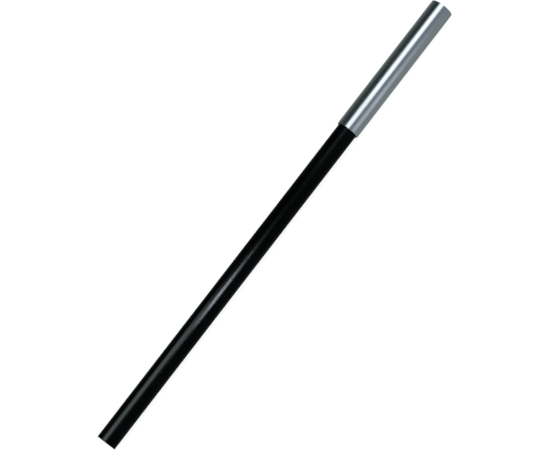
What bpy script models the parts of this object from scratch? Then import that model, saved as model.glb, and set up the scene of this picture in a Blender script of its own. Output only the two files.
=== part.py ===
"""Roller extension pole: a black steel pole that telescopes in a bright aluminium handle tube.

The pole lies along X on the ground, roller end at -X and handle at +X. Turning the handle on the
pole jams an eccentric cam, on the pole's hidden inner end, against the handle tube's bore.
Metres, +Z up. The origin is on the ground, under the middle of the pole as it is stored.
"""

import math

import bmesh
import bpy

MM = 0.001

# Driving dimensions
HANDLE_OUTER_R = 12.7 * MM      # one-inch tube
HANDLE_WALL = 0.9 * MM
HANDLE_LENGTH = 164.6 * MM
POLE_OUTER_R = 11.0 * MM        # 22 mm tube
POLE_WALL = 0.75 * MM
POLE_SHOWING = 406.4 * MM       # from the roller end to the handle's mouth, as stored
TRAVEL = 100 * MM               # how far the handle draws out

# Fits
PRESS_GAP = 0.05 * MM           # round a piece that is pressed in
RUNNING_GAP = 0.1 * MM          # round a piece that turns or slides
END_GAP = 0.2 * MM              # between faces along the axis
CAM_GAP = 0.35 * MM             # round the cam while the lock is off
CAM_OFFSET = 0.5 * MM           # from the pole's axis to the journal's
THROUGH = 10 * MM               # how far a cutter runs past what it cuts

# Facets round the axis
TUBE_FACETS = 32
SMALL_FACETS = 24

# Worked out from the driving dimensions
HANDLE_BORE_R = HANDLE_OUTER_R - HANDLE_WALL
POLE_BORE_R = POLE_OUTER_R - POLE_WALL
TOTAL_LENGTH = POLE_SHOWING + HANDLE_LENGTH
HALF_FACET = math.pi / TUBE_FACETS
AXIS_HEIGHT = HANDLE_OUTER_R * math.cos(HALF_FACET)

# Places along the pole, from the roller end
MOUTH = POLE_SHOWING
HANDLE_END = TOTAL_LENGTH

# Plugs in the tubes' ends
PLUG_FACE = 2.0 * MM
PLUG_SKIRT = 1.6 * MM
PLUG_LENGTH = 14 * MM
PLUG_CHAMFER = 0.6 * MM
PLUG_FINS = 4
FIN_WIDTH = 1.2 * MM
FIN_DEPTH = 0.7 * MM
PLUG_RECESS = 0.4 * MM          # how far a plug's face lies inside the tube's end

# Lock body, from the pole's inner end outwards
SPIGOT_LENGTH = 24 * MM
SPIGOT_BORE_R = 6.4 * MM
SPIGOT_BORE_DEPTH = 17 * MM
SHOULDER_LENGTH = 3 * MM
RING_SEAT_LENGTH = 6 * MM
RING_SEAT_R = 8.6 * MM
COLLAR_LENGTH = 2 * MM
COLLAR_R = 10.4 * MM
JOURNAL_R = 6.5 * MM
JOURNAL_LENGTH = 13 * MM

# Small pieces of the lock
WASHER_R = 9.2 * MM
WASHER_THICK = 1.2 * MM
SCREW_HEAD_R = 3.9 * MM
SCREW_HEAD_HEIGHT = 2.6 * MM
SCREW_CREST_R = 1.9 * MM
SCREW_ROOT_R = 1.45 * MM
SCREW_LENGTH = 12 * MM
SCREW_POINT = 1 * MM            # cut off
SCREW_PITCH = 1.4 * MM
SCREW_RECESS_ARM = 2.3 * MM
SCREW_RECESS_WIDTH = 0.9 * MM
SCREW_RECESS_DEPTH = 1.5 * MM
PIN_R = 1.5 * MM
PIN_HOLLOW_R = 0.8 * MM
PIN_SETBACK = 10 * MM           # from the pole's inner end
RING_OUTER_R = HANDLE_BORE_R - RUNNING_GAP
RING_SLIT = 2.4 * MM
CAM_SLIT = 1.8 * MM
CAM_FLUTES = 24
FLUTE_R = 0.4 * MM
DRAG_RING_CORD_R = 0.8 * MM
DRAG_RING_GROOVE = 2.0 * MM     # width

# Places that follow from the lock's lengths
PLUG_INNER_END = HANDLE_END - PLUG_RECESS - PLUG_LENGTH
LOCK_LENGTH = (SHOULDER_LENGTH + RING_SEAT_LENGTH + COLLAR_LENGTH + JOURNAL_LENGTH
               + WASHER_THICK + SCREW_HEAD_HEIGHT + 3 * END_GAP)
STORED_CLEARANCE = 1.6 * MM     # from the screw head to the handle's plug
POLE_END = PLUG_INNER_END - STORED_CLEARANCE - LOCK_LENGTH
SHOULDER = POLE_END + END_GAP
RING_SEAT = SHOULDER + SHOULDER_LENGTH
COLLAR = RING_SEAT + RING_SEAT_LENGTH
JOURNAL = COLLAR + COLLAR_LENGTH
WASHER = JOURNAL + JOURNAL_LENGTH + END_GAP
SCREW_HEAD = WASHER + WASHER_THICK + END_GAP
DRAG_RING = JOURNAL + JOURNAL_LENGTH / 2
CAM_R = HANDLE_BORE_R - CAM_GAP
DRAG_RING_R = CAM_R - DRAG_RING_CORD_R

# The bush is as long as lets the glide ring stop on it with the handle drawn right out
BUSH_RECESS = 0.6 * MM
BUSH_END_AT_FULL_TRAVEL = RING_SEAT + END_GAP - 0.3 * MM
BUSH_LENGTH = BUSH_END_AT_FULL_TRAVEL - TRAVEL - MOUTH - BUSH_RECESS


def clear_scene():
    for obj in list(bpy.data.objects):
        bpy.data.objects.remove(obj, do_unlink=True)


def new_collection(name):
    collection = bpy.data.collections.new(name)
    bpy.context.scene.collection.children.link(collection)
    return collection


def material(name, colour, roughness, metallic=0.0):
    made = bpy.data.materials.new(name)
    made.use_nodes = True
    shader = made.node_tree.nodes["Principled BSDF"]
    shader.inputs["Base Color"].default_value = (*colour, 1.0)
    shader.inputs["Roughness"].default_value = roughness
    shader.inputs["Metallic"].default_value = metallic
    return made


def add_object(name, data, along, finish=None, collection=None):
    """Puts data on the pole's axis at a distance along it. Local Z runs towards the handle."""
    obj = bpy.data.objects.new(name, data)
    (collection or parts).objects.link(obj)
    obj.parent = axis
    obj.location = (along - TOTAL_LENGTH / 2, 0, 0)
    obj.rotation_euler = (0, math.radians(90), 0)
    if finish:
        obj.data.materials.append(finish)
    return obj


def arc(centre, radius, start, end, steps):
    """Points (r, z) on a circular arc, with angles in degrees from the +r direction."""
    angles = (math.radians(start + (end - start) * i / steps) for i in range(steps + 1))
    return [(centre[0] + radius * math.cos(a), centre[1] + radius * math.sin(a)) for a in angles]


def turned(name, profile, along, finish, facets=TUBE_FACETS, closed=True, collection=None):
    """A turned piece from (radius, height) points that run down its outer side, top to bottom.

    A closed profile makes a ring or tube. An open one starts and ends on the axis.
    """
    mesh = bpy.data.meshes.new(name)
    edges = [(i, i + 1) for i in range(len(profile) - 1)]
    if closed:
        edges.append((len(profile) - 1, 0))
    mesh.from_pydata([(r, 0, z) for r, z in profile], edges, [])
    obj = add_object(name, mesh, along, finish, collection)
    screw = obj.modifiers.new("turn", "SCREW")
    screw.axis = "Z"
    screw.angle = 2 * math.pi
    screw.steps = facets
    screw.render_steps = facets
    screw.use_merge_vertices = True
    screw.merge_threshold = 0.00001
    screw.use_smooth_shade = False
    return obj


def cylinder(name, radius, length, along, facets=SMALL_FACETS, finish=None, collection=None):
    """A plain cylinder on the axis, from a distance along it."""
    mesh = bpy.data.meshes.new(name)
    body = bmesh.new()
    bmesh.ops.create_cone(body, cap_ends=True, segments=facets,
                          radius1=radius, radius2=radius, depth=length)
    bmesh.ops.translate(body, vec=(0, 0, length / 2), verts=body.verts)
    body.to_mesh(mesh)
    body.free()
    return add_object(name, mesh, along, finish, collection)


def box(name, size, centre, along, collection=None):
    """A box with its middle at centre, in the local frame of a place along the axis."""
    mesh = bpy.data.meshes.new(name)
    body = bmesh.new()
    bmesh.ops.create_cube(body, size=1)
    bmesh.ops.scale(body, vec=size, verts=body.verts)
    bmesh.ops.translate(body, vec=centre, verts=body.verts)
    body.to_mesh(mesh)
    body.free()
    return add_object(name, mesh, along, collection=collection)


def helper(obj):
    """Marks a cutter, or a shape that a Boolean joins, as no part of the object."""
    obj.hide_render = True
    obj.display_type = "WIRE"
    return obj


def boolean(obj, other, operation):
    modifier = obj.modifiers.new(operation.lower(), "BOOLEAN")
    modifier.operation = operation
    modifier.object = helper(other)
    modifier.solver = "EXACT"


def split_ring(name, outer_r, bore_r, length, along, slit, finish, bore_height=0.0):
    """A ring with a slit on top. bore_height is how far its bore's axis lies above its own."""
    ring = cylinder(name, outer_r, length, along, TUBE_FACETS, finish)
    bore = cylinder(name + "_bore", bore_r, length + 2 * THROUGH, along - THROUGH, TUBE_FACETS,
                    collection=cutters)
    bore.location.z = bore_height
    boolean(ring, bore, "DIFFERENCE")
    opening = box(name + "_slit", (2 * outer_r, slit, length + 2 * THROUGH),
                  (-outer_r, 0, length / 2), along, cutters)
    boolean(ring, opening, "DIFFERENCE")
    return ring


def hang_from_journal(obj):
    """Gives a piece that turns with the cam a parent on the journal's axis, and leaves it in place."""
    obj.parent = journal_axis
    obj.location.z -= CAM_OFFSET


# Handle

def handle_tube(finish):
    """The bright outer tube, its end rim rounded over and its mouth only deburred."""
    rim = 0.7 * MM
    burr = 0.2 * MM
    profile = arc((HANDLE_OUTER_R - rim, HANDLE_LENGTH - rim), rim, 90, 0, 4)
    profile += [(HANDLE_OUTER_R, burr),
                (HANDLE_OUTER_R - burr, 0),
                (HANDLE_BORE_R + burr, 0),
                (HANDLE_BORE_R, burr),
                (HANDLE_BORE_R, HANDLE_LENGTH)]
    return turned("handle_tube", profile, MOUTH, finish)


def guide_bush(finish):
    """A plain nylon sleeve bonded in the handle's mouth. Its bore flares where the pole goes in."""
    outer = HANDLE_BORE_R - PRESS_GAP
    bore = POLE_OUTER_R + RUNNING_GAP
    flare = 0.3 * MM
    lead = 0.3 * MM
    profile = [(outer - lead, BUSH_LENGTH),
               (outer, BUSH_LENGTH - 3 * lead),
               (outer, 0),
               (bore + flare, 0),
               (bore, 4 * flare),
               (bore, BUSH_LENGTH)]
    return turned("guide_bush", profile, MOUTH + BUSH_RECESS, finish)


def end_plug(name, tube_bore_r, along, finish, outwards):
    """A finned cup plug with a flat face. outwards is +1 where the face looks along +X."""
    fin_r = tube_bore_r - PRESS_GAP
    core_r = fin_r - FIN_DEPTH
    hollow_r = core_r - PLUG_SKIRT
    pitch = (PLUG_LENGTH - PLUG_FACE) / PLUG_FINS
    profile = [(0, PLUG_LENGTH),
               (fin_r - PLUG_CHAMFER, PLUG_LENGTH),
               (fin_r, PLUG_LENGTH - PLUG_CHAMFER),
               (fin_r, PLUG_LENGTH - PLUG_FACE)]
    for fin in range(PLUG_FINS):
        top = PLUG_LENGTH - PLUG_FACE - fin * pitch
        profile += [(core_r, top),
                    (core_r, top - pitch + FIN_WIDTH),
                    (fin_r, top - pitch + FIN_WIDTH),
                    (core_r + FIN_DEPTH / 2, top - pitch)]
    profile += [(hollow_r, 0),
                (hollow_r, PLUG_LENGTH - PLUG_FACE),
                (0, PLUG_LENGTH - PLUG_FACE)]
    plug = turned(name, profile, along, finish, closed=False)
    if outwards < 0:
        plug.rotation_euler = (0, math.radians(-90), 0)
    return plug


# Pole

def pole_tube(finish):
    """The black coated tube, its edges broken, with a cross hole for the lock pin."""
    burr = 0.2 * MM
    profile = [(POLE_OUTER_R - burr, POLE_END),
               (POLE_OUTER_R, POLE_END - burr),
               (POLE_OUTER_R, burr),
               (POLE_OUTER_R - burr, 0),
               (POLE_BORE_R, 0),
               (POLE_BORE_R, POLE_END)]
    tube = turned("pole_tube", profile, 0, finish)
    boolean(tube, cross_hole("pole_pin_hole"), "DIFFERENCE")
    return tube


def cross_hole(name):
    """A cutter across the pole, along Y, where the lock pin goes."""
    length = 2 * (POLE_OUTER_R + THROUGH)
    hole = cylinder(name, PIN_R + PRESS_GAP, length, POLE_END - PIN_SETBACK, collection=cutters)
    hole.rotation_euler = (math.radians(90), 0, 0)
    hole.location.y = length / 2
    return hole


def lock_pin(finish):
    """A rolled pin through tube and plug, a little shorter than the pole is thick."""
    length = 2 * (POLE_OUTER_R - 0.35 * MM)
    chamfer = 0.3 * MM
    profile = [(PIN_R - chamfer, length),
               (PIN_R, length - chamfer),
               (PIN_R, chamfer),
               (PIN_R - chamfer, 0),
               (PIN_HOLLOW_R, 0),
               (PIN_HOLLOW_R, length)]
    pin = turned("lock_pin", profile, POLE_END - PIN_SETBACK, finish, SMALL_FACETS)
    pin.rotation_euler = (math.radians(90), 0, 0)
    pin.location.y = length / 2
    return pin


# Lock

def lock_body(finish):
    """The moulded plug in the pole's inner end: spigot, shoulder, ring seat, collar and journal."""
    spigot_r = POLE_BORE_R - PRESS_GAP
    relief = 0.5 * MM
    lead = 1.0 * MM
    base = -SPIGOT_LENGTH
    shoulder_top = END_GAP + SHOULDER_LENGTH
    seat_top = shoulder_top + RING_SEAT_LENGTH
    collar_top = seat_top + COLLAR_LENGTH
    profile = [(0, collar_top),
               (COLLAR_R, collar_top),
               (COLLAR_R, seat_top),
               (RING_SEAT_R, seat_top),
               (RING_SEAT_R, shoulder_top),
               (POLE_OUTER_R, shoulder_top),
               (POLE_OUTER_R, END_GAP),
               (spigot_r, END_GAP),
               (spigot_r, -6 * lead),
               (spigot_r - relief, -7 * lead),
               (spigot_r - relief, -13 * lead),
               (spigot_r, -14 * lead),
               (spigot_r, base + 2 * lead),
               (spigot_r - lead, base),
               (SPIGOT_BORE_R, base),
               (SPIGOT_BORE_R, base + SPIGOT_BORE_DEPTH),
               (0, base + SPIGOT_BORE_DEPTH)]
    body = turned("lock_body", profile, POLE_END, finish, closed=False)
    rooted = COLLAR_LENGTH / 2
    journal = cylinder("journal", JOURNAL_R, JOURNAL_LENGTH + rooted, JOURNAL - rooted,
                       TUBE_FACETS, collection=cutters)
    journal.location.z = CAM_OFFSET
    boolean(body, journal, "UNION")
    pilot = cylinder("screw_hole", SCREW_CREST_R + PRESS_GAP, SCREW_LENGTH + THROUGH,
                     WASHER - SCREW_LENGTH, collection=cutters)
    boolean(body, pilot, "DIFFERENCE")
    boolean(body, cross_hole("body_pin_hole"), "DIFFERENCE")
    return body


def glide_ring(finish):
    """A split ring in the lock body's seat. It slides in the handle and turns on the pole."""
    return split_ring("glide_ring", RING_OUTER_R, RING_SEAT_R + RUNNING_GAP,
                      RING_SEAT_LENGTH - 2 * END_GAP, RING_SEAT + END_GAP, RING_SLIT, finish)


def lock_cam(finish):
    """The split cam: round outside on the handle's axis, with its bore on the journal's axis."""
    cam = split_ring("lock_cam", CAM_R, JOURNAL_R + RUNNING_GAP, JOURNAL_LENGTH - END_GAP,
                     JOURNAL + END_GAP, CAM_SLIT, finish, CAM_OFFSET)
    groove_floor = DRAG_RING_R - DRAG_RING_CORD_R - RUNNING_GAP
    half = DRAG_RING_GROOVE / 2
    profile = [(CAM_R + half, half), (CAM_R + half, -half), (groove_floor, -half),
               (groove_floor, half)]
    groove = turned("cam_groove", profile, DRAG_RING, None, collection=cutters)
    boolean(cam, groove, "DIFFERENCE")
    boolean(cam, cam_flutes(), "DIFFERENCE")
    hang_from_journal(cam)
    return cam


def cam_flutes():
    """A cutter of thin rods round the cam, which leave gripping teeth between them."""
    mesh = bpy.data.meshes.new("cam_flutes")
    body = bmesh.new()
    for flute in range(CAM_FLUTES):
        angle = 2 * math.pi * (flute + 0.5) / CAM_FLUTES
        rod = bmesh.ops.create_cone(body, cap_ends=True, segments=6, radius1=FLUTE_R,
                                    radius2=FLUTE_R, depth=JOURNAL_LENGTH + THROUGH)["verts"]
        place = (CAM_R * math.cos(angle), CAM_R * math.sin(angle), 0)
        bmesh.ops.translate(body, vec=place, verts=rod)
    body.to_mesh(mesh)
    body.free()
    return add_object("cam_flutes", mesh, DRAG_RING, collection=cutters)


def drag_ring(finish):
    """A rubber ring round the cam, drawn squeezed level with the cam's outside."""
    profile = arc((DRAG_RING_R, 0), DRAG_RING_CORD_R, 90, -270, 12)[:-1]
    ring = turned("drag_ring", profile, DRAG_RING, finish)
    hang_from_journal(ring)
    return ring


def cam_washer(finish):
    bore = SCREW_CREST_R + RUNNING_GAP
    edge = 0.2 * MM
    profile = [(WASHER_R - edge, WASHER_THICK),
               (WASHER_R, WASHER_THICK - edge),
               (WASHER_R, edge),
               (WASHER_R - edge, 0),
               (bore, 0),
               (bore, WASHER_THICK)]
    return turned("cam_washer", profile, WASHER, finish)


def cam_screw(finish):
    """A pan-head self-tapping screw. Its thread is drawn as rings."""
    dome = arc((0, 0), 1.0, 90, 0, 6)
    profile = [(SCREW_HEAD_R * r, SCREW_HEAD_HEIGHT * (0.35 + 0.65 * z)) for r, z in dome]
    profile[0] = (0, SCREW_HEAD_HEIGHT)
    profile += [(SCREW_HEAD_R, 0), (SCREW_ROOT_R, 0)]
    first_ring = WASHER_THICK + 2 * END_GAP
    rings = int((SCREW_LENGTH - first_ring) / SCREW_PITCH)
    for ring in range(rings):
        top = -first_ring - ring * SCREW_PITCH
        profile += [(SCREW_ROOT_R, top),
                    (SCREW_CREST_R, top - SCREW_PITCH / 3),
                    (SCREW_ROOT_R, top - 2 * SCREW_PITCH / 3)]
    profile.append((0, SCREW_POINT - SCREW_LENGTH))
    screw = turned("cam_screw", profile, SCREW_HEAD, finish, SMALL_FACETS, closed=False)
    for turn, name in enumerate(("recess_one_way", "recess_other_way")):
        size = [SCREW_RECESS_WIDTH, 2 * SCREW_RECESS_ARM, 2 * SCREW_RECESS_DEPTH]
        if turn:
            size[0], size[1] = size[1], size[0]
        recess = box(name, size, (0, 0, SCREW_HEAD_HEIGHT), SCREW_HEAD, cutters)
        boolean(screw, recess, "DIFFERENCE")
    return screw


clear_scene()
parts = new_collection("roller_extension_pole")
cutters = new_collection("cutters")

# Every piece hangs from this empty on the pole's axis, turned so that a flat facet faces the ground
axis = bpy.data.objects.new("pole_axis", None)
parts.objects.link(axis)
axis.location = (0, 0, AXIS_HEIGHT)
axis.rotation_euler = (HALF_FACET, 0, 0)
journal_axis = bpy.data.objects.new("journal_axis", None)
parts.objects.link(journal_axis)
journal_axis.parent = axis
journal_axis.location = (0, 0, CAM_OFFSET)

bright_aluminium = material("bright_aluminium", (0.62, 0.64, 0.66), 0.14, 1.0)
black_coating = material("black_coating", (0.012, 0.013, 0.014), 0.32)
black_plastic = material("black_plastic", (0.02, 0.02, 0.02), 0.5)
natural_nylon = material("natural_nylon", (0.78, 0.76, 0.68), 0.42)
black_rubber = material("black_rubber", (0.03, 0.03, 0.03), 0.7)
zinc_steel = material("zinc_steel", (0.6, 0.6, 0.58), 0.35, 1.0)

handle_tube(bright_aluminium)
guide_bush(black_plastic)
end_plug("handle_plug", HANDLE_BORE_R, PLUG_INNER_END, black_plastic, 1)

pole_tube(black_coating)
end_plug("roller_end_plug", POLE_BORE_R, PLUG_RECESS + PLUG_LENGTH, black_plastic, -1)
lock_pin(zinc_steel)

lock_body(natural_nylon)
glide_ring(natural_nylon)
lock_cam(natural_nylon)
drag_ring(black_rubber)
cam_washer(zinc_steel)
cam_screw(zinc_steel)
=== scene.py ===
"""Looks of the roller extension pole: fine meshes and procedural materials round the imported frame.

The pole lies along X on a pale floor, with the roller end at -X and the bright handle at +X.
"""

import math

import bmesh
import bpy
from mathutils import Matrix, Vector


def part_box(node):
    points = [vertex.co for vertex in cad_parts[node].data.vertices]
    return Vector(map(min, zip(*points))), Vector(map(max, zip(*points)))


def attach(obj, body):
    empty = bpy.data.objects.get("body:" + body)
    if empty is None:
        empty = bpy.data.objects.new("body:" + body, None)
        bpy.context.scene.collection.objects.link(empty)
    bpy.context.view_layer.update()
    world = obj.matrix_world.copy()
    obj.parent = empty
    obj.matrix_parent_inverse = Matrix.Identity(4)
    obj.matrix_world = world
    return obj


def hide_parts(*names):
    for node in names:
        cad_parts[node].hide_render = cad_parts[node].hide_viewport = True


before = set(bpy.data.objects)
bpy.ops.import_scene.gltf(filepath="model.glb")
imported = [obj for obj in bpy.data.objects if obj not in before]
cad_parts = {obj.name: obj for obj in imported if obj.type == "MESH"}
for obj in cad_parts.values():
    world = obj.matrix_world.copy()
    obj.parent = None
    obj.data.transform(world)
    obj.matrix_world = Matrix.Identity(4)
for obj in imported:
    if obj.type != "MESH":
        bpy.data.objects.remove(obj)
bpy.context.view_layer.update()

MM = 0.001
CAD_FACETS = 32                 # round the CAD's tubes
FINE_FACETS = 192
HOLE_FACETS = 48
TO_CORNERS = 1 / math.cos(math.pi / CAD_FACETS)   # from a facet's middle to its corners
WELD = 0.001 * MM               # points closer than this are one point
SLIVER = 1e-14                  # square metres: a face smaller than this is no face

HANDLE_WALL = 0.9 * MM
POLE_WALL = 0.75 * MM
PRESS_GAP = 0.05 * MM           # round a piece that is pressed in
RUNNING_GAP = 0.1 * MM          # round a piece that turns or slides
WASHER_BORE_R = 2.0 * MM
PLUG_FACE = 2.0 * MM
PLUG_SKIRT = 1.6 * MM
PLUG_EDGE = 0.6 * MM
PLUG_FINS = 4
FIN_WIDTH = 1.2 * MM
FIN_DEPTH = 0.7 * MM
SUPPORT = 0.35 * MM             # from a rounded edge to the loop that keeps its shading tight


def span(node):
    """(low x, high x, radius) of a turned CAD node."""
    low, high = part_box(node)
    return low.x, high.x, (high.y - low.y) / 2 * TO_CORNERS


handle_low, handle_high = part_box("handle_tube")
AXIS_Z = (handle_low.z + handle_high.z) / 2
MOUTH_X, HANDLE_END_X, HANDLE_R = span("handle_tube")
ROLLER_END_X, POLE_INNER_X, POLE_R = span("pole_tube")
BUSH_X, BUSH_INNER_X, BUSH_R = span("guide_bush")
HANDLE_BORE_R = HANDLE_R - HANDLE_WALL
POLE_BORE_R = POLE_R - POLE_WALL


# Meshes

def arc(x, r, radius, start, end, steps=5):
    """Points (x, r) on an arc about (x, r). The angles are in degrees, from +x towards the outside."""
    angles = [math.radians(start + (end - start) * i / steps) for i in range(steps + 1)]
    return [(x + radius * math.cos(a), r + radius * math.sin(a)) for a in angles]


def turned(name, profile, body, node, finish, end_finish=None, ends=()):
    """A fine turned piece round the pole's axis, from a closed (x, r) profile, for one CAD node.

    Faces whose middles lie within the (low x, high x) pairs in ends get end_finish.
    """
    mesh = bpy.data.meshes.new(name)
    shape = bmesh.new()
    ring = [shape.verts.new((x, 0, max(r, 0))) for x, r in profile]
    edges = [shape.edges.new((ring[i - 1], ring[i])) for i in range(len(ring))]
    bmesh.ops.spin(shape, geom=ring + edges, cent=(0, 0, 0), axis=(1, 0, 0),
                   angle=2 * math.pi, steps=FINE_FACETS)
    bmesh.ops.remove_doubles(shape, verts=shape.verts, dist=WELD)
    slivers = [face for face in shape.faces if face.calc_area() < SLIVER]
    bmesh.ops.delete(shape, geom=slivers, context="FACES")
    bmesh.ops.recalc_face_normals(shape, faces=shape.faces)
    bmesh.ops.translate(shape, vec=(0, 0, AXIS_Z), verts=shape.verts)
    for face in shape.faces:
        face.smooth = True
        middle = face.calc_center_median().x
        if any(low <= middle <= high for low, high in ends):
            face.material_index = 1
    shape.to_mesh(mesh)
    shape.free()
    piece = bpy.data.objects.new(name, mesh)
    bpy.context.scene.collection.objects.link(piece)
    mesh.materials.append(finish)
    mesh.materials.append(end_finish or finish)
    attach(piece, body)
    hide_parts(node)
    return piece


# Materials

class Finish:
    """A node material with a Principled shader, and short calls that add nodes to it."""

    def __init__(self, name, roughness=0.5, metallic=0.0, specular=0.5):
        self.material = bpy.data.materials.new(name)
        self.material.use_nodes = True
        self.tree = self.material.node_tree
        self.shader = self.tree.nodes["Principled BSDF"]
        self.shader.inputs["Roughness"].default_value = roughness
        self.shader.inputs["Metallic"].default_value = metallic
        self.shader.inputs["Specular IOR Level"].default_value = specular
        self.place = self.tree.nodes.new("ShaderNodeTexCoord").outputs["Object"]

    def link(self, source, target):
        self.tree.links.new(source, target)

    def math(self, operation, first, second=0.0):
        node = self.tree.nodes.new("ShaderNodeMath")
        node.operation = operation
        for socket, value in zip(node.inputs, (first, second)):
            if isinstance(value, (int, float)):
                socket.default_value = value
            else:
                self.link(value, socket)
        return node.outputs[0]

    def stretched(self, scale, turn=(0, 0, 0)):
        """The object's coordinates, scaled along each axis and turned."""
        node = self.tree.nodes.new("ShaderNodeMapping")
        node.inputs["Scale"].default_value = scale
        node.inputs["Rotation"].default_value = [math.radians(angle) for angle in turn]
        self.link(self.place, node.inputs["Vector"])
        return node.outputs["Vector"]

    def noise(self, scale, detail=3.0, turn=(0, 0, 0)):
        """Noise with features about 1/scale metres long; scale is one number or one for each axis."""
        if isinstance(scale, (int, float)):
            scale = (scale, scale, scale)
        node = self.tree.nodes.new("ShaderNodeTexNoise")
        node.inputs["Scale"].default_value = 1.0
        node.inputs["Detail"].default_value = detail
        self.link(self.stretched(scale, turn), node.inputs["Vector"])
        return node.outputs["Fac"]

    def between(self, value, low, high, start=0.0, end=1.0):
        """Maps value from low..high to start..end, held at the ends."""
        node = self.tree.nodes.new("ShaderNodeMapRange")
        for name, number in (("From Min", low), ("From Max", high), ("To Min", start),
                             ("To Max", end)):
            node.inputs[name].default_value = number
        self.link(value, node.inputs["Value"])
        return node.outputs["Result"]

    def blend(self, amount, first, second):
        """A colour between first and second, either of which may be a socket."""
        node = self.tree.nodes.new("ShaderNodeMix")
        node.data_type = "RGBA"
        self.link(amount, node.inputs["Factor"])
        for name, value in (("A", first), ("B", second)):
            socket = next(s for s in node.inputs if s.name == name and s.type == "RGBA")
            if isinstance(value, tuple):
                socket.default_value = (*value, 1.0)
            else:
                self.link(value, socket)
        return next(s for s in node.outputs if s.type == "RGBA")

    def scratches(self, turn, length, spacing=0.6 * MM, patchy=60):
        """A mask of fine, broken scratches that run along X before the turn.

        patchy is the scale of the noise that breaks them up.
        """
        half_width = 0.012          # in the noise's value, on each side of its middle
        lines = self.noise((1 / length, 1 / spacing, 1 / spacing), 1.0, turn)
        away = self.math("ABSOLUTE", self.math("SUBTRACT", lines, 0.5))
        thin = self.between(away, 0.0, half_width, 1.0, 0.0)
        patches = self.between(self.noise(patchy, 2.0, turn), 0.5, 0.62)
        return self.math("MULTIPLY", thin, patches)

    def bump(self, height, distance, strength, under=None):
        """A normal from a height mask; under is a normal that it is laid over."""
        node = self.tree.nodes.new("ShaderNodeBump")
        node.inputs["Distance"].default_value = distance
        node.inputs["Strength"].default_value = strength
        self.link(height, node.inputs["Height"])
        if under is not None:
            self.link(under, node.inputs["Normal"])
        return node.outputs["Normal"]

    def wear(self, colour, roughness=None, normal=None):
        """Links what varies over the surface to the shader, and gives the finished material."""
        for name, source in (("Base Color", colour), ("Roughness", roughness), ("Normal", normal)):
            if source is not None:
                self.link(source, self.shader.inputs[name])
        return self.material


def bright_aluminium():
    """Polished drawn tube: die lines along it, handling haze, and a few stray scratches."""
    dark, light, hazy = (0.625, 0.675, 0.69), (0.71, 0.76, 0.77), (0.56, 0.61, 0.59)
    finish = Finish("bright_aluminium", metallic=1.0)
    lines = finish.noise((6, 2600, 2600), 3.0)
    streaks = finish.noise((4, 420, 420), 2.0)
    haze = finish.noise((22, 60, 60), 4.0)
    stray = finish.scratches((0, 0, 24), 18 * MM)
    along = finish.scratches((0, 0, 1.5), 60 * MM, spacing=0.4 * MM, patchy=35)
    marks = finish.math("MAXIMUM", stray, along)
    tint = finish.blend(finish.between(streaks, 0.35, 0.65), dark, light)
    tint = finish.blend(finish.between(haze, 0.45, 0.75, 0.0, 0.35), tint, hazy)
    rough = finish.between(lines, 0.3, 0.7, 0.10, 0.17)
    rough = finish.math("ADD", rough, finish.between(haze, 0.45, 0.75, 0.0, 0.07))
    rough = finish.math("ADD", rough, finish.math("MULTIPLY", marks, 0.12))
    normal = finish.bump(lines, 0.004 * MM, 0.5)
    normal = finish.bump(streaks, 0.012 * MM, 0.4, normal)
    normal = finish.bump(marks, -0.01 * MM, 0.3, normal)
    return finish.wear(tint, rough, normal)


def sawn_aluminium():
    """The tube's cut mouth: brighter, rougher, with fine marks across it."""
    dark, light = (0.70, 0.71, 0.71), (0.82, 0.82, 0.81)
    finish = Finish("sawn_aluminium", metallic=1.0)
    cuts = finish.noise((40, 3200, 260), 2.0, (0, 0, 18))
    patches = finish.noise(900, 3.0)
    tint = finish.blend(finish.between(patches, 0.35, 0.65), dark, light)
    rough = finish.between(cuts, 0.3, 0.7, 0.34, 0.48)
    return finish.wear(tint, rough, finish.bump(cuts, 0.02 * MM, 0.6))


def black_coating():
    """Satin black coat: orange peel, faint rubbing along the tube and fine handling marks."""
    dark, light = (0.0002, 0.0002, 0.0002), (0.0004, 0.0005, 0.0005)
    dusty, scuffed = (0.02, 0.021, 0.022), (0.018, 0.019, 0.019)
    finish = Finish("black_coating", specular=0.08)
    finish.shader.inputs["Specular Tint"].default_value = (0.83, 1, 1, 1)
    peel = finish.noise(1500, 3.0)
    swell = finish.noise((30, 260, 260), 2.0)
    dust = finish.noise(5200, 2.0)
    rubbed = finish.scratches((0, 0, 0.6), 70 * MM, spacing=0.45 * MM, patchy=28)
    stray = finish.scratches((0, 0, 31), 14 * MM, patchy=50)
    marks = finish.math("MAXIMUM", rubbed, stray)
    tint = finish.blend(finish.between(swell, 0.35, 0.65), dark, light)
    tint = finish.blend(finish.between(dust, 0.68, 0.76, 0.0, 0.25), tint, dusty)
    tint = finish.blend(finish.math("MULTIPLY", marks, 0.35), tint, scuffed)
    rough = finish.between(swell, 0.3, 0.7, 0.11, 0.14)
    rough = finish.math("SUBTRACT", rough, finish.math("MULTIPLY", marks, 0.07))
    normal = finish.bump(peel, 0.014 * MM, 0.45)
    normal = finish.bump(marks, -0.006 * MM, 0.6, normal)
    return finish.wear(tint, rough, normal)


def moulded(name, dark, light, roughness, subsurface=0.0):
    """Moulded plastic: slight flow marks in the colour and a fine spark-eroded grain."""
    finish = Finish(name)
    flow = finish.noise((70, 160, 160), 3.0)
    grain = finish.noise(1800, 3.0)
    scuffs = finish.scratches((12, 20, 40), 6 * MM, spacing=0.3 * MM, patchy=200)
    tint = finish.blend(finish.between(flow, 0.35, 0.65), dark, light)
    rough = finish.between(grain, 0.3, 0.7, roughness - 0.07, roughness + 0.07)
    rough = finish.math("SUBTRACT", rough, finish.math("MULTIPLY", scuffs, 0.12))
    finish.shader.inputs["Subsurface Weight"].default_value = subsurface
    finish.shader.inputs["Subsurface Scale"].default_value = 0.8 * MM
    return finish.wear(tint, rough, finish.bump(grain, 0.03 * MM, 0.4))


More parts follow.
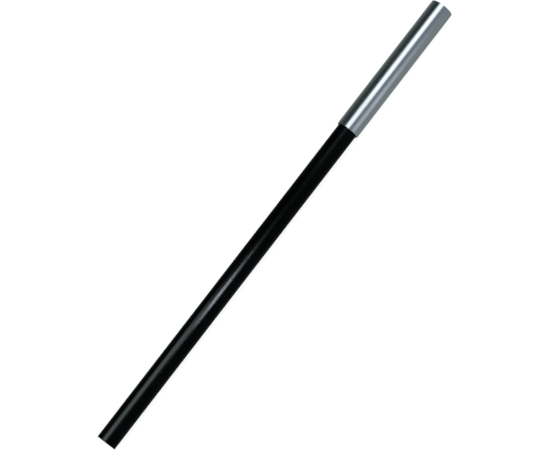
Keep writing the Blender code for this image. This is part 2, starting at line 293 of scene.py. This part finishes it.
def zinc_steel():
    """Zinc plate: a mottled bluish sheen with scuffs."""
    dark, light = (0.52, 0.54, 0.56), (0.68, 0.68, 0.66)
    finish = Finish("zinc_steel", metallic=1.0)
    mottle = finish.noise(420, 4.0)
    scuffs = finish.scratches((20, 35, 10), 5 * MM, spacing=0.25 * MM, patchy=240)
    tint = finish.blend(finish.between(mottle, 0.35, 0.65), dark, light)
    rough = finish.between(mottle, 0.3, 0.7, 0.24, 0.38)
    rough = finish.math("ADD", rough, finish.math("MULTIPLY", scuffs, 0.1))
    return finish.wear(tint, rough, finish.bump(mottle, 0.012 * MM, 0.5))


def black_rubber():
    """Dull rubber with a pale bloom and a fine grain."""
    dark, bloomed = (0.022, 0.022, 0.022), (0.045, 0.045, 0.044)
    finish = Finish("black_rubber", specular=0.35)
    bloom = finish.noise(260, 4.0)
    grain = finish.noise(2400, 2.0)
    tint = finish.blend(finish.between(bloom, 0.4, 0.7), dark, bloomed)
    rough = finish.between(bloom, 0.3, 0.7, 0.62, 0.78)
    return finish.wear(tint, rough, finish.bump(grain, 0.02 * MM, 0.5))


# Pieces

def handle_tube(finish, cut):
    """Plain cut mouth, hardly deburred, and an end rim that is rounded over."""
    burr = 0.12 * MM            # taken off the mouth's outer edge
    rim = 0.7 * MM              # radius of the free end's outer edge
    inner = 0.2 * MM            # taken off the bore's edges
    face_depth = 0.02 * MM      # of the sawn finish into the mouth
    profile = arc(MOUTH_X + burr, HANDLE_R - burr, burr, 180, 90, 3)
    profile += [(MOUTH_X + burr + SUPPORT, HANDLE_R),
                (HANDLE_END_X - rim - SUPPORT, HANDLE_R)]
    profile += arc(HANDLE_END_X - rim, HANDLE_R - rim, rim, 90, 0, 8)
    profile += [(HANDLE_END_X, HANDLE_BORE_R + inner / 2),
                (HANDLE_END_X - inner / 2, HANDLE_BORE_R),
                (HANDLE_END_X - inner - SUPPORT, HANDLE_BORE_R),
                (MOUTH_X + inner + SUPPORT, HANDLE_BORE_R),
                (MOUTH_X + inner, HANDLE_BORE_R),
                (MOUTH_X, HANDLE_BORE_R + inner)]
    sawn = (MOUTH_X - burr, MOUTH_X + face_depth)
    return turned("bright_handle_tube", profile, "handle", "handle_tube",
                  finish, cut, [sawn])


def pole_tube(finish):
    """The coated tube, its edges softened by the coat, with the lock pin's cross hole."""
    edge = 0.25 * MM
    profile = arc(ROLLER_END_X + edge, POLE_R - edge, edge, 180, 90)
    profile += [(ROLLER_END_X + edge + SUPPORT, POLE_R), (POLE_INNER_X - edge - SUPPORT, POLE_R)]
    profile += arc(POLE_INNER_X - edge, POLE_R - edge, edge, 90, 0)
    profile += [(POLE_INNER_X, POLE_BORE_R), (ROLLER_END_X, POLE_BORE_R)]
    tube = turned("black_pole_tube", profile, "pole", "pole_tube", finish)
    low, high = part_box("lock_pin")
    drill(tube, (low + high) / 2, (high.x - low.x) / 2 + PRESS_GAP)
    return tube


def drill(piece, middle, radius):
    """Cuts a hole right through a piece, along Y."""
    mesh = bpy.data.meshes.new("drill")
    shape = bmesh.new()
    bmesh.ops.create_cone(shape, cap_ends=True, segments=HOLE_FACETS, radius1=radius, radius2=radius,
                          depth=4 * HANDLE_R,
                          matrix=Matrix.Translation(middle) @ Matrix.Rotation(math.pi / 2, 4, "X"))
    shape.to_mesh(mesh)
    shape.free()
    cutter = bpy.data.objects.new("drill", mesh)
    bpy.context.scene.collection.objects.link(cutter)
    cut = piece.modifiers.new("drill", "BOOLEAN")
    cut.object = cutter
    cut.solver = "EXACT"
    bpy.context.view_layer.update()
    done = bpy.data.meshes.new_from_object(piece.evaluated_get(bpy.context.evaluated_depsgraph_get()))
    piece.modifiers.clear()
    piece.data = done
    bpy.data.objects.remove(cutter)


def end_plug(node, body, outwards, finish):
    """A finned cup plug. Its face has a rounded edge, a shallow ring and the mould gate's dimple.

    outwards is +1 where the face looks along +X, and -1 along -X.
    """
    low, high, radius = span(node)
    face, back = (high, low) if outwards > 0 else (low, high)
    core = radius - FIN_DEPTH
    hollow = core - PLUG_SKIRT
    pitch = (high - low - PLUG_FACE) / PLUG_FINS
    ring_r, ring_width, ring_depth = 0.66 * radius, 0.5 * MM, 0.2 * MM
    dimple_r, dimple_depth = 1.3 * MM, 0.35 * MM
    ring_floor = 0.4 * ring_width       # on each side of the ring's middle
    edge_steps = 5
    # Points are (depth under the face, radius): the dimple's flat floor and shallow side, the ring
    shape = [(dimple_depth, 0), (dimple_depth, 0.4 * dimple_r), (0.2 * dimple_depth, 0.85 * dimple_r),
             (0, dimple_r), (0, ring_r - ring_width), (ring_depth, ring_r - ring_floor),
             (ring_depth, ring_r + ring_floor), (0, ring_r + ring_width)]
    for step in range(edge_steps + 1):
        angle = math.radians(90 * step / edge_steps)
        shape.append((PLUG_EDGE * (1 - math.cos(angle)), radius - PLUG_EDGE * (1 - math.sin(angle))))
    shape.append((PLUG_FACE, radius))
    for fin in range(PLUG_FINS):
        top = PLUG_FACE + fin * pitch
        shape += [(top, core), (top + pitch - FIN_WIDTH, core), (top + pitch - FIN_WIDTH, radius),
                  (top + pitch, core + FIN_DEPTH / 2)]
    shape += [(abs(back - face), hollow), (PLUG_FACE, hollow), (PLUG_FACE, 0)]
    profile = [(face - outwards * depth, r) for depth, r in shape]
    return turned(node + "_moulding", profile, body, node, finish)


def guide_bush(finish):
    """A sleeve in the handle's mouth, its bore rounded off where the pole goes in."""
    bore = POLE_R + RUNNING_GAP
    flare, flare_length, flare_steps = 0.3 * MM, 1.2 * MM, 6
    lead, lead_length = 0.3 * MM, 0.9 * MM      # the inner end's taper, for pressing it in
    angles = [math.radians(90 * step / flare_steps) for step in range(flare_steps + 1)]
    profile = [(BUSH_X + flare_length * (1 - math.sin(a)), bore + flare * (1 - math.cos(a)))
               for a in angles]
    profile += [(BUSH_INNER_X, bore), (BUSH_INNER_X, BUSH_R - lead),
                (BUSH_INNER_X - lead_length, BUSH_R), (BUSH_X, BUSH_R)]
    return turned("guide_bush_sleeve", profile, "handle", "guide_bush", finish)


def drag_ring(finish):
    """A ring of round rubber cord."""
    low, high, radius = span("drag_ring")
    cord_r = (high - low) / 2
    points = 24
    profile = arc((low + high) / 2, radius - cord_r, cord_r, 0, 360 - 360 / points, points - 1)
    return turned("drag_ring_cord", profile, "cam", "drag_ring", finish)


def cam_washer(finish):
    """A stamped washer: rolled over on one face, with a sharper edge on the other."""
    low, high, radius = span("cam_washer")
    bore = WASHER_BORE_R
    roll = 0.35 * MM
    burr = 0.08 * MM
    profile = arc(high - roll, radius - roll, roll, 90, 0)
    profile += arc(high - roll, bore + roll, roll, 0, -90)
    profile += [(low + burr, bore), (low, bore + burr), (low, radius - burr), (low + burr, radius)]
    return turned("cam_washer_stamping", profile, "pole", "cam_washer", finish)


# Camera, lights and floor

CAMERA_HEIGHT = 2.25            # over the pole's roller end
LENS, SENSOR_WIDTH = 144.1, 36.0  # mm
CAMERA_REACH = 50.0             # it sees nothing farther off
POLE_SLANT = math.radians(52.33)  # of the pole in the picture, from the horizontal
SHIFT_X, SHIFT_Y = 0.00176, 0.0007      # of the lens, in picture widths
PANEL_DISTANCE = 1.2            # of the mirrored lamps from the pole's axis
PANEL_WATTS = math.pi           # for each square metre, for a panel as bright as white paper
FILL_SIZE, FILL_HEIGHT, FILL_WATTS = 4.0, 3.0, 60.0
# The walls' bands: degrees round the pole from overhead, + towards -Y, then colour. They are pale
# below, where the floor is, and those towards the pole's ends have two soft boxes among them.
WALL_BANDS = [(-180, (0.62, 0.65, 0.65)), (-168, (0.5, 0.53, 0.53)), (-158, (0.22, 0.25, 0.26)),
              (-131, (0.175, 0.21, 0.21)), (-111, (0.09, 0.11, 0.112)), (-96, (0.065, 0.082, 0.084)),
              (-83, (0.037, 0.048, 0.05)), (-62, (0.029, 0.035, 0.037)), (-20, (0.13, 0.15, 0.175)),
              (10, (0.206, 0.24, 0.285)), (29, (0.198, 0.23, 0.27)), (50, (0.203, 0.235, 0.262)),
              (70, (0.222, 0.248, 0.263)), (83, (0.248, 0.272, 0.274)), (131, (0.252, 0.272, 0.268)),
              (158, (0.19, 0.2, 0.2)), (168, (0.5, 0.53, 0.53)), (180, (0.62, 0.65, 0.65))]
END_WALL_BANDS = [(-180, (0.62, 0.65, 0.65)), (-168, (0.5, 0.53, 0.53)), (-158, (0.26, 0.28, 0.28)),
                  (-120, (0.18, 0.2, 0.2)), (-75, (0.1, 0.12, 0.125)), (-48, (0.19, 0.2, 0.21)),
                  (-36, (2.5, 2.6, 2.65)), (-14, (2.5, 2.6, 2.65)), (-2, (0.28, 0.3, 0.32)),
                  (36, (0.25, 0.26, 0.27)), (46, (1.06, 1.1, 1.12)), (64, (1.06, 1.1, 1.12)),
                  (76, (0.28, 0.3, 0.3)), (120, (0.25, 0.26, 0.26)), (158, (0.26, 0.28, 0.28)),
                  (168, (0.5, 0.53, 0.53)), (180, (0.62, 0.65, 0.65))]
END_WALLS_FROM, END_WALLS_FULL = 20, 32     # degrees from square to the pole towards its ends
FLOOR_R = 8.0
FLOOR_BEND, BEND_STEPS = 3.0, 12
FLOOR_FACETS = 96
FLOOR_DROP = 0.1 * MM           # under the CAD's lowest point
FLOOR_WELD = 0.1 * MM
WALL_HEIGHT = 7.0
FLOOR_GLOW = 0.72


def camera():
    """Looks down at the pole from over its roller end, turned so that the handle is top right."""
    data = bpy.data.cameras.new("camera")
    data.lens = LENS
    data.sensor_width = SENSOR_WIDTH
    data.shift_x, data.shift_y = SHIFT_X, SHIFT_Y
    data.clip_end = CAMERA_REACH
    obj = bpy.data.objects.new("camera", data)
    bpy.context.scene.collection.objects.link(obj)
    place = Vector((ROLLER_END_X, 0, AXIS_Z + CAMERA_HEIGHT))
    half_angle = math.atan((HANDLE_END_X - ROLLER_END_X) / CAMERA_HEIGHT) / 2
    back = Vector((-math.sin(half_angle), 0, math.cos(half_angle)))
    along = Vector((math.cos(half_angle), 0, math.sin(half_angle)))
    across = back.cross(along)
    right = math.cos(POLE_SLANT) * along - math.sin(POLE_SLANT) * across
    up = math.sin(POLE_SLANT) * along + math.cos(POLE_SLANT) * across
    obj.matrix_world = (Matrix.Translation(place)
                        @ Matrix((right, up, back)).transposed().to_4x4())
    bpy.context.scene.camera = obj


def panel(name, xs, turns, power, fades=(0, 0, 0, 0), skew=0, colour=(1, 1, 1.02)):
    """A flat lamp that the pole mirrors, set square to the pole's axis and lighting reflections only.

    xs are its ends along X. turns are its long edges' places round the axis, in degrees from
    overhead, + towards -Y. power is its brightness against white paper's. fades are the shares of
    it over which each end and each edge fades out. skew turns it about its own middle, in degrees.
    """
    data = bpy.data.lights.new(name, "AREA")
    data.shape = "RECTANGLE"
    data.size = xs[1] - xs[0]
    data.size_y = 2 * PANEL_DISTANCE * math.tan(math.radians(turns[1] - turns[0]) / 2)
    data.energy = power * PANEL_WATTS * data.size * data.size_y
    data.color = colour
    if any(fades):
        fade_edges(data, fades)
    lamp = bpy.data.objects.new(name, data)
    bpy.context.scene.collection.objects.link(lamp)
    lamp.matrix_world = (Matrix.Translation((0, 0, AXIS_Z))
                         @ Matrix.Rotation(math.radians(sum(turns) / 2), 4, "X")
                         @ Matrix.Translation((sum(xs) / 2, 0, PANEL_DISTANCE))
                         @ Matrix.Rotation(math.radians(skew), 4, "Z"))
    lamp.visible_camera = False
    lamp.visible_diffuse = False
    return lamp


def light_only(lamp, piece):
    """Keeps a lamp's light off everything but one piece."""
    lit = bpy.data.collections.new(lamp.name + "_lights")
    lit.objects.link(piece)
    lamp.light_linking.receiver_collection = lit


def fade_edges(lamp_data, fades):
    """Dims a lamp smoothly towards its low and high ends and its low and high edges."""
    lamp_data.use_nodes = True
    nodes, links = lamp_data.node_tree.nodes, lamp_data.node_tree.links
    split = nodes.new("ShaderNodeSeparateXYZ")
    links.new(nodes.new("ShaderNodeNewGeometry").outputs["Parametric"], split.inputs[0])
    product = None
    for i, fade in enumerate(fades):
        if not fade:
            continue
        ramp = nodes.new("ShaderNodeMapRange")
        ramp.interpolation_type = "SMOOTHSTEP"
        # A panel's turn grows towards -Y, against its own Y axis
        far = i in (1, 2)
        ramp.inputs["From Min"].default_value = 1.0 if far else 0.0
        ramp.inputs["From Max"].default_value = 1.0 - fade if far else fade
        links.new(split.outputs["XXYY"[i]], ramp.inputs["Value"])
        if product is None:
            product = ramp.outputs["Result"]
            continue
        times = nodes.new("ShaderNodeMath")
        times.operation = "MULTIPLY"
        links.new(product, times.inputs[0])
        links.new(ramp.outputs["Result"], times.inputs[1])
        product = times.outputs[0]
    links.new(product, nodes["Emission"].inputs["Strength"])


def fill():
    """A wide overhead lamp that lights the floor and is not mirrored."""
    data = bpy.data.lights.new("fill", "AREA")
    data.size = FILL_SIZE
    data.energy = FILL_WATTS
    lamp = bpy.data.objects.new("fill", data)
    bpy.context.scene.collection.objects.link(lamp)
    lamp.location.z = FILL_HEIGHT
    lamp.visible_camera = False
    lamp.visible_glossy = False


def studio(black_tube):
    """The lamps, and walls that are darker at +Y.

    The two strong lamps over the black tube light nothing else, or they would sparkle in the
    bright tube's scratches.
    """
    panel("over_handle", (0.265, 1.0), (-35.5, 8.0), 1.3, fades=(0, 0, 0, 0.5))
    panel("over_handle_feather", (0.30, 1.0), (-46, -35), 0.45, skew=4)
    panel("beside_handle", (0.33, 0.60), (18, 80), 0.36, fades=(0, 0.8, 0.5, 0.5),
          colour=(1.08, 1, 1.15))
    streak = panel("over_pole", (-0.60, 0.01), (-72, -6), 12.0, fades=(0, 0.12, 0.55, 0.45), skew=-3,
                   colour=(1, 1, 0.97))
    spot = panel("over_pole_spot", (-0.033, 0.05), (-35, 12), 108.0, fades=(0.4, 0.6, 0.5, 0.5),
                 colour=(1.1, 1, 1.1))
    for lamp in (streak, spot):
        light_only(lamp, black_tube)
    fill()
    walls()


def walls():
    """The surroundings that the pole mirrors, as bands of grey round its axis.

    Towards the pole's two ends the bands give way to END_WALL_BANDS.
    """
    world = bpy.data.worlds.new("studio_walls")
    world.use_nodes = True
    bpy.context.scene.world = world
    nodes, links = world.node_tree.nodes, world.node_tree.links

    def calculate(operation, first, second=None):
        node = nodes.new("ShaderNodeMath")
        node.operation = operation
        for socket, value in zip(node.inputs, (first, second)):
            if isinstance(value, float):
                socket.default_value = value
            elif value is not None:
                links.new(value, socket)
        return node.outputs[0]

    def ramp(place, bands):
        node = nodes.new("ShaderNodeValToRGB")
        links.new(place, node.inputs[0])
        stops = node.color_ramp.elements
        while len(stops) < len(bands):
            stops.new(0.5)
        for stop, (degrees, colour) in zip(stops, bands):
            stop.position = degrees / 360 + 0.5
            stop.color = (*colour, 1)
        return node.outputs["Color"]

    split = nodes.new("ShaderNodeSeparateXYZ")
    links.new(nodes.new("ShaderNodeTexCoord").outputs["Generated"], split.inputs[0])
    turn = calculate("ARCTAN2", calculate("MULTIPLY", split.outputs["Y"], -1.0), split.outputs["Z"])
    place = calculate("ADD", calculate("DIVIDE", turn, 2 * math.pi), 0.5)
    endward = nodes.new("ShaderNodeMapRange")
    endward.interpolation_type = "SMOOTHSTEP"
    endward.inputs["From Min"].default_value = math.sin(math.radians(END_WALLS_FROM))
    endward.inputs["From Max"].default_value = math.sin(math.radians(END_WALLS_FULL))
    links.new(calculate("ABSOLUTE", split.outputs["X"]), endward.inputs["Value"])
    mix = nodes.new("ShaderNodeMixRGB")
    links.new(endward.outputs["Result"], mix.inputs["Fac"])
    links.new(ramp(place, WALL_BANDS), mix.inputs["Color1"])
    links.new(ramp(place, END_WALL_BANDS), mix.inputs["Color2"])
    links.new(mix.outputs["Color"], nodes["Background"].inputs["Color"])


def floor():
    """A plain pale floor that curves up into a wall all round.

    It glows a little, so that the shadows on it are faint, and the pole doesn't mirror it.
    """
    mesh = bpy.data.meshes.new("floor")
    shape = bmesh.new()
    angles = [math.radians(90 * step / BEND_STEPS) for step in range(BEND_STEPS + 1)]
    bend = [(FLOOR_R + FLOOR_BEND * math.sin(a), FLOOR_BEND * (1 - math.cos(a))) for a in angles]
    outline = [(0, 0)] + bend + [(FLOOR_R + FLOOR_BEND, WALL_HEIGHT)]
    points = [shape.verts.new((r, 0, z - FLOOR_DROP)) for r, z in outline]
    edges = [shape.edges.new(pair) for pair in zip(points, points[1:])]
    bmesh.ops.spin(shape, geom=points + edges, cent=(0, 0, 0), axis=(0, 0, 1),
                   angle=2 * math.pi, steps=FLOOR_FACETS)
    bmesh.ops.remove_doubles(shape, verts=shape.verts, dist=FLOOR_WELD)
    for face in shape.faces:
        face.smooth = True
    shape.to_mesh(mesh)
    shape.free()
    sweep = bpy.data.objects.new("floor", mesh)
    bpy.context.scene.collection.objects.link(sweep)
    dark, light = (0.40, 0.40, 0.40), (0.42, 0.42, 0.42)
    finish = Finish("floor_paint", roughness=0.8, specular=0.0)
    finish.shader.inputs["Emission Color"].default_value = (1, 1, 1, 1)
    finish.shader.inputs["Emission Strength"].default_value = FLOOR_GLOW
    mesh.materials.append(finish.wear(finish.blend(finish.noise(0.6, 2.0), dark, light)))
    sweep.visible_glossy = False


camera()
floor()
bpy.context.scene.view_settings.view_transform = "Standard"

black_plastic = moulded("black_plastic", (0.012, 0.012, 0.012), (0.022, 0.022, 0.022), 0.42)
nylon = moulded("natural_nylon", (0.70, 0.68, 0.60), (0.82, 0.80, 0.73), 0.38, subsurface=0.25)
zinc = zinc_steel()
handle_tube(bright_aluminium(), sawn_aluminium())
black_tube = pole_tube(black_coating())
end_plug("handle_plug", "handle", 1, black_plastic)
end_plug("roller_end_plug", "pole", -1, black_plastic)
guide_bush(black_plastic)
drag_ring(black_rubber())
cam_washer(zinc)
studio(black_tube)

# The lock's other pieces keep their CAD meshes
KEPT_MESHES = {"lock_pin": zinc, "cam_screw": zinc, "lock_body": nylon, "glide_ring": nylon,
               "lock_cam": nylon}
for node, finish in KEPT_MESHES.items():
    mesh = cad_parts[node].data
    mesh.materials.clear()
    mesh.materials.append(finish)
